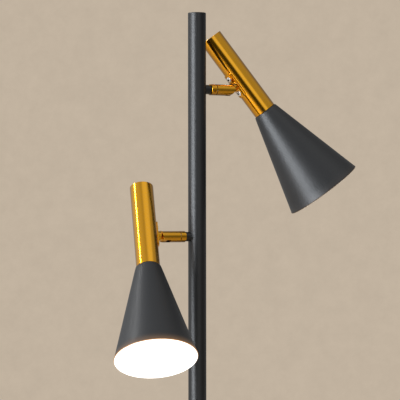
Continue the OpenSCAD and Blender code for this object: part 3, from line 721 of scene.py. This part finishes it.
shade = turn("shade_pattern", [
    (HOLE_R, TUBE_LOW), (LIP_R, TUBE_LOW), (LIP_R, SHADE_TOP)]
    + arc(SHOULDER_AT, SHOULDER, 90, slope, 5)
    + cone_side(0.03, 0.985, 0, 12)
    + arc(BEAD_AT, BEAD, slope, slope - 250, 12)
    + cone_side(0.96, 0.03, SHEET, 12)
    + arc(SHOULDER_AT, SHOULDER - SHEET, slope, 90, 3)
    + [(HOLE_R, SHADE_TOP - SHEET)], wall=True, sides=128)
smooth(shade, 35)
stand(shade, "spot_shade", head_place, "head",
      on_each_arm(shade_coat, enamel_with_painted_glow, mouth_edge), "shade", pick=side_of)

# %% [markdown]
# ## The globe
#
# The lamp's glass is a milky globe on a short neck. Its profile is most of a
# circle, then a curve in to the neck, and it stops where the screw cap starts.
# It is lit, so it gives off more light than the inside of the shade.

# %% Globe
GLOBE_R, GLOBE_Z = 22.5, -95.0
GLASS_NECK_R, NECK_ROUND, GLASS_TOP = 8.9, 8, -64.0

opal = Finish("opal_glass", (0.95, 0.94, 0.90), Roughness=0.25)
milk = opal.noise(60.0, 2.0)
opal.feed("Base Color", opal.blend(milk, (0.93, 0.92, 0.88), (0.97, 0.96, 0.93)))
opal.glow(opal.blend(milk, (1.0, 0.96, 0.88), (1.0, 0.98, 0.93)), 2.0)

globe = turn("globe_pattern",
             arc((0, GLOBE_Z), GLOBE_R, -88, 48, 24)
             + arc((GLASS_NECK_R + NECK_ROUND, GLASS_TOP - 5), NECK_ROUND, -146, -180, 5)
             + [(GLASS_NECK_R, GLASS_TOP - 0.6), (GLASS_NECK_R - 0.6, GLASS_TOP)])
smooth(globe, 40)
stand(globe, "spot_globe", head_place, "head", on_each_arm(opal), "bulb_glass")

# %% [markdown]
# ## The rolled plate and its screws
#
# A small brass plate, rolled to the tube's round, holds the tube to the knuckle.
# It is modelled as a flat sheet with round corners, cut into narrow strips,
# given its thickness, bent and softened. Two button-head screws with a hexagon
# socket hold it. One is turned and cut, and the other is its copy.

# %% Plate
PLATE_L, PLATE_W, PLATE_T, PLATE_CORNER = 38.0, 17.0, 1.6, 4.0
PLATE_R = TUBE_R + 0.05 + PLATE_T
STRIPS = 16
bend = 2 * math.asin(PLATE_W / 2 / PLATE_R)
flat_w = PLATE_R * bend

bpy.ops.object.select_all(action="DESELECT")
bpy.ops.mesh.primitive_plane_add(size=1)
plate = bpy.context.active_object
plate.name = "plate_pattern"
plate.scale = (flat_w * MM, PLATE_L * MM, 1)
bpy.ops.object.transform_apply(scale=True)
edit_mesh(plate)
bpy.ops.mesh.bevel(offset=PLATE_CORNER * MM, segments=6, affect="VERTICES")
for i in range(1, STRIPS):
    bpy.ops.mesh.select_all(action="SELECT")
    cut_x = (i / STRIPS - 0.5) * flat_w * MM
    bpy.ops.mesh.bisect(plane_co=(cut_x, 0, 0), plane_no=(1, 0, 0))
bpy.ops.object.mode_set(mode="OBJECT")
apply_modifier(plate, "SOLIDIFY", thickness=PLATE_T * MM, offset=-1)
settle(plate, turned=(math.radians(90), 0, 0))
apply_modifier(plate, "SIMPLE_DEFORM", deform_method="BEND", deform_axis="Z", angle=bend)
settle(plate, (-PLATE_R, 0, 0), (0, 0, math.radians(-90)))
soften(plate, 0.25)
stand(plate, "rolled_plate", head_place, "head", tube_finish, "bracket_plate")

# %% Screws
SCREW_PITCH = 23.4
HEAD_R, HEAD_H, DOME_H, SHANK_R = 3.9, 2.4, 1.2, 2.0
SOCKET_R, SOCKET_FLOOR = 1.7, 0.9
SEAT_X = -math.sqrt(PLATE_R ** 2 - HEAD_R ** 2)
dome_r = (HEAD_R ** 2 + DOME_H ** 2) / (2 * DOME_H)
dome_edge = math.degrees(math.acos(HEAD_R / dome_r))


def in_socket(face):
    """1 for a face down in one of the two hexagon sockets, which gets painted shade."""
    from_axis = math.hypot(face.center.y, abs(face.center.z) - SCREW_PITCH / 2 * MM)
    below_top = face.center.x > (SEAT_X - HEAD_H) * MM
    return 1 if from_axis < SOCKET_R * 0.98 * MM and below_top else 0


screw = turn("screw_pattern", [(SHANK_R, 5), (SHANK_R, 0), (HEAD_R - 0.25, 0), (HEAD_R, -0.25)]
             + arc((0, dome_r - HEAD_H), dome_r, -dome_edge, -89, 8), sides=64, along="X")
cut(screw, turn("socket_tool", [(SOCKET_R, -HEAD_H - 1), (SOCKET_R, -SOCKET_FLOOR)], sides=6,
                along="X"))
soften(screw, 0.12)
settle(screw, (SEAT_X, 0, SCREW_PITCH / 2))
bpy.ops.object.duplicate(linked=False)
settle(bpy.context.active_object, (0, 0, -SCREW_PITCH))
screw.select_set(True)
bpy.context.view_layer.objects.active = screw
bpy.ops.object.join()
stand(screw, "button_screws", head_place, "head",
      on_each_arm(nickel, socket_painted_shade), "bracket_screws", pick=in_socket)

# %% [markdown]
# ## The knuckle
#
# Three turned pieces make the knuckle. The base ring is fixed to the pole's boss
# by a set screw, and has a hole for it. The fork turns on the base, and is a
# round bar with a slot sawn in its end and the end rounded over. The tongue sits
# in the slot: a flat cut from a round bar, with a round stub that meets the
# plate. Each is turned, then cut with plain tools, as it would be at a bench,
# and its edges are broken at the end.

# %% Base ring
BOSS_END, BASE_END, FORK_REAR, PIVOT_X = 20.5, 29.0, 29.2, 52.0
NIPPLE_HOLE_R, GRUB_HOLE_R, GRUB_TURN = 4.1, 1.6, math.radians(20)
RING_EDGE = 0.5

ring = turn("ring_pattern", [
    (NIPPLE_HOLE_R, BOSS_END), (KNUCKLE_R - RING_EDGE, BOSS_END),
    (KNUCKLE_R, BOSS_END + RING_EDGE), (KNUCKLE_R, BASE_END - RING_EDGE),
    (KNUCKLE_R - RING_EDGE, BASE_END), (NIPPLE_HOLE_R, BASE_END)], wall=True, along="X")
drill = turn("drill_tool", [(GRUB_HOLE_R, 0), (GRUB_HOLE_R, KNUCKLE_R + 1)], sides=32)
cut(ring, settle(drill, ((BOSS_END + BASE_END) / 2, 0, 0), (math.radians(90) + GRUB_TURN, 0, 0)))
soften(ring, 0.18, angle=35)
stand(ring, "knuckle_ring", arm_place, "stand", knuckle_finish, "knuckle_base")

# %% Fork
FORK_NOSE, FORK_EDGE, SLOT_W, SLOT_DEPTH = 6.0, 0.4, 6.3, 7.2
fork_back = FORK_REAR - PIVOT_X
fork = turn("fork_pattern", [
    (NIPPLE_HOLE_R, fork_back), (KNUCKLE_R - FORK_EDGE, fork_back),
    (KNUCKLE_R, fork_back + FORK_EDGE), (KNUCKLE_R, FORK_NOSE + 2), (1, FORK_NOSE + 2)], along="X")

# What is left of the bar lies inside a round nose with a straight block behind.
nose_r = KNUCKLE_R + 0.1
nose_x = FORK_NOSE - nose_r
nose = turn("nose_tool", [(nose_r, -nose_r - 1), (nose_r, nose_r + 1)], sides=90, along="Y")
settle(nose, (nose_x, 0, 0))
straight = nose_x - fork_back + 1
behind = block((straight, 4 * KNUCKLE_R, 4 * KNUCKLE_R), (nose_x - straight / 2, 0, 0))
cut(nose, behind, "UNION")
cut(fork, nose, "INTERSECT")
cut(fork, block((SLOT_DEPTH + 20, SLOT_W, 40), (10 - SLOT_DEPTH / 2, 0, 0)))
soften(fork, 0.3, segments=3)
stand(fork, "knuckle_cheeks", hinge_place, "fork", knuckle_finish, "knuckle_fork")

# %% Tongue
STUB_R, STUB_X, TONGUE_T, TONGUE_R = 6.5, 6.9, 6.0, 6.8
stub_end = HEAD_REACH - PLATE_R + STUB_R / 2
neck_l = STUB_X + 0.5
tongue = turn("tongue_pattern", [(TONGUE_R, -TONGUE_T / 2), (TONGUE_R, TONGUE_T / 2)], along="Y")
cut(tongue, block((neck_l, TONGUE_T, 2 * STUB_R), (neck_l / 2, 0, 0)), "UNION")
cut(tongue, bar(KNUCKLE_R - 0.02, along="X"), "INTERSECT")
cut(tongue, turn("stub_tool", [(STUB_R, STUB_X), (STUB_R, stub_end)], along="X"), "UNION")
cut(tongue, settle(bar(PLATE_R + 0.05, sides=128), (HEAD_REACH, 0, 0)))
soften(tongue, 0.25)
stand(tongue, "knuckle_tongue_bar", tongue_place, "head", knuckle_finish,
      "knuckle_tongue")

# %% [markdown]
# ## The boss and the pole's cap
#
# Each arm starts at a short black boss that is welded to the pole. The coat has
# run into the corner and rounded it, so the profile flares where it meets the
# pole, and the pole's own round is cut out of its end. The pole's cap is turned
# with a rounded edge and a plug that fits the pole's bore.

# %% Boss
POLE_R, BOSS_R, FLARE = 12.5, 6.5, 1.0
FLARE_X = POLE_R - 1.2
boss = turn("boss_pattern", [(BOSS_R + FLARE, POLE_R - 3.5), (BOSS_R + FLARE, FLARE_X)]
            + arc((BOSS_R + FLARE, FLARE_X + FLARE), FLARE, -90, -180, 6)[1:]
            + [(BOSS_R, BOSS_END - 0.5), (BOSS_R - 0.4, BOSS_END), (NIPPLE_HOLE_R, BOSS_END)],
            along="X")
cut(boss, bar(POLE_R + 0.03, sides=128))
soften(boss, 0.12, angle=50)
stand(boss, "welded_boss", arm_place, "stand", on_each_arm(black), "arm_boss")

# %% Pole cap
POLE_TOP = cad_high.z / MM
PLUG_R, PLUG_LOW, FLANGE_LOW = POLE_R - 1.6, POLE_TOP - 15, POLE_TOP - 3.02
FLANGE_ROUND = 0.8
pole_cap = turn("pole_cap_turned", [
    (PLUG_R - 0.2, PLUG_LOW), (PLUG_R, FLANGE_LOW), (POLE_R - 0.25, FLANGE_LOW),
    (POLE_R, POLE_TOP - 2.8)]
    + arc((POLE_R - FLANGE_ROUND, POLE_TOP - FLANGE_ROUND), FLANGE_ROUND, 0, 90, 6)
    + [(POLE_R * 0.5, POLE_TOP), (0.5, POLE_TOP)], sides=128)
smooth(pole_cap, 30)
finish_with(pole_cap, [black])
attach(pole_cap, "stand")
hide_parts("pole_cap")
print("pole cap", len(pole_cap.data.polygons), "faces")

# %% [markdown]
# ## Camera and floor
#
# The camera stands about 2.8 m away at the height of the heads, with a long
# lens. The floor is one sheet of beige paper. The camera sees it mostly in its
# plain colour, and a part of the real light is left so that the lamp's shadow
# still falls on it.

# %% The camera
CAMERA_AT = Vector((0.0154, -2.7739, 1.2307))
PITCH, YAW, ROLL = math.radians(0.609), math.radians(-0.236), math.radians(-0.063)
FOCAL_PIXELS, PICTURE_PIXELS = 2000.0, 400.0

bpy.ops.object.camera_add(location=CAMERA_AT)
camera = bpy.context.active_object
level_forward = Vector((math.sin(YAW), math.cos(YAW), 0))
forward = level_forward * math.cos(PITCH) + UP * math.sin(PITCH)
level_right = Vector((math.cos(YAW), -math.sin(YAW), 0))
level_up = level_right.cross(forward)
right = level_right * math.cos(ROLL) + level_up * math.sin(ROLL)
up = level_up * math.cos(ROLL) - level_right * math.sin(ROLL)
camera.matrix_world = (Matrix.Translation(CAMERA_AT)
                       @ Matrix((right, up, -forward)).transposed().to_4x4())
camera.data.sensor_width = 36.0
camera.data.lens = FOCAL_PIXELS / PICTURE_PIXELS * camera.data.sensor_width
camera.data.clip_end = 60.0
bpy.context.scene.camera = camera
print("camera lens", camera.data.lens)

# %% The floor
PAPER = (0.533, 0.445, 0.347)
SHOWN_PLAIN = 0.75
FLOOR_W, FLOOR_D = 9, 7
bpy.ops.object.select_all(action="DESELECT")
bpy.ops.mesh.primitive_plane_add(size=1, location=(0, 0.1, 0))
floor = bpy.context.active_object
floor.name = "floor"
floor.scale = (FLOOR_W, FLOOR_D, 1)
bpy.ops.object.transform_apply(location=True, scale=True)
paper = Finish("floor_paper", PAPER, Roughness=0.9, Specular_IOR_Level=0.1)
pulp = paper.blend(paper.noise(9.0, 5.0, 0.6), scaled(PAPER, 0.94), scaled(PAPER, 1.06))
paper.feed("Base Color", pulp)
lit = Wire(paper.tree, paper.shader.outputs[0])
plain = paper.node("Emission", None, {"Color": pulp, "Strength": 1.0})
camera_share = paper.node("LightPath") * SHOWN_PLAIN
shown = paper.node("MixShader", None, {0: camera_share, 1: lit, 2: plain})
paper.tree.links.new(shown.end, paper.tree.nodes["Material Output"].inputs["Surface"])
finish_with(floor, [paper])
print("floor", FLOOR_W, "by", FLOOR_D, "m")

# %% [markdown]
# ## The room that the brass reflects
#
# Brass has no colour of its own beside what it reflects, so the room around
# the lamp is part of its finish. A studio is brighter where its walls are lit
# and darker at its doors and in its corners. The world's colour is a plain
# grey, lifted towards a few directions and lowered towards others, each with a
# soft edge. The camera itself sees the colour of the paper there, faintly
# mottled, so no wall has to stand behind the lamp.

# %% The room
ROOM_GREY = 0.44
# Degrees to the left of the camera's side and degrees up; the angles where a
# patch ends and where it is full; and by how much it lifts or lowers the grey.
PATCHES = (
    (-45, 58, 30, 4, 0.42),
    (-22, 8, 20, 2, 0.50),
    (95, 40, 60, 10, 0.18),
    (120, 12, 45, 15, 0.12),
    (12, -16, 30, 15, -0.40),
    (-75, -6, 40, 15, -0.30),
    (-130, 22, 40, 12, -0.10),
    (180, 0, 75, 45, -0.14),
)
world = bpy.data.worlds.new("studio")
bpy.context.scene.world = world
world.use_nodes = True
room = world.node_tree
look = add_node(room, "TexCoord")


def towards(azimuth, height):
    """A direction: degrees to the left of the camera's side, and degrees up."""
    a, h = math.radians(azimuth), math.radians(height)
    return Vector((-math.sin(a) * math.cos(h), -math.cos(a) * math.cos(h), math.sin(h)))


def patch(azimuth, height, outer, inner):
    """1 towards one direction, falling softly to 0 at the outer angle."""
    share = add_node(room, "VectorMath", {"operation": "DOT_PRODUCT"},
                     {0: look, 1: towards(azimuth, height)}, out=1)
    return share.between(math.cos(math.radians(outer)), math.cos(math.radians(inner)))


level = ROOM_GREY
for azimuth, height, outer, inner, lift in PATCHES:
    level = level + patch(azimuth, height, outer, inner) * lift
grey = add_node(room, "CombineXYZ", None, {0: level, 1: level, 2: level})
mottle = add_node(room, "TexNoise", None, {
    "Vector": look, "Scale": 110.0, "Detail": 6.0, "Roughness": 0.75})
backdrop = mix_colours(room, mottle, scaled(PAPER, 0.90), scaled(PAPER, 1.10))
camera_ray = add_node(room, "LightPath")
colour = mix_colours(room, camera_ray, grey, backdrop)
room.links.new(colour.end, room.nodes["Background"].inputs["Color"])
print("room of", len(PATCHES), "patches,", len(room.nodes), "nodes")

# %% [markdown]
# ## The lamps
#
# Two soft lamps light the heads. A large one stands to the left of the camera
# and gives the pole and the shades their broad highlight. A narrow strip, high
# on the left and leaning over, draws the thin bright line down the lower tube.
# The camera sees neither.

# %% The lamps
HEADS_AT = Vector((0, 0, 1.3))
WHITE, COOL_WHITE = (1, 1, 1), (0.95, 1.0, 1.06)


def softbox(name, direction, distance, width, height, power, colour=WHITE, lean=0):
    """A rectangular lamp in one direction from the heads, leaning by some degrees."""
    bpy.ops.object.light_add(type="AREA", location=HEADS_AT + direction * distance)
    lamp = bpy.context.active_object
    lamp.name = name
    lamp.data.shape = "RECTANGLE"
    lamp.data.size, lamp.data.size_y = width, height
    lamp.data.energy = power
    lamp.data.color = colour
    facing = direction.to_track_quat("Z", "Y").to_matrix()
    lamp.rotation_euler = (facing @ Matrix.Rotation(math.radians(lean), 3, "Z")).to_euler()
    lamp.visible_camera = False
    print(name, "lamp at", lamp.location)


softbox("key", towards(50, 4), distance=2.6, width=1.45, height=2.4, power=95, colour=COOL_WHITE)
softbox("strip", towards(92, 33), distance=2.4, width=0.24, height=1.0, power=15, lean=30)
bpy.context.scene.view_settings.view_transform = "Standard"
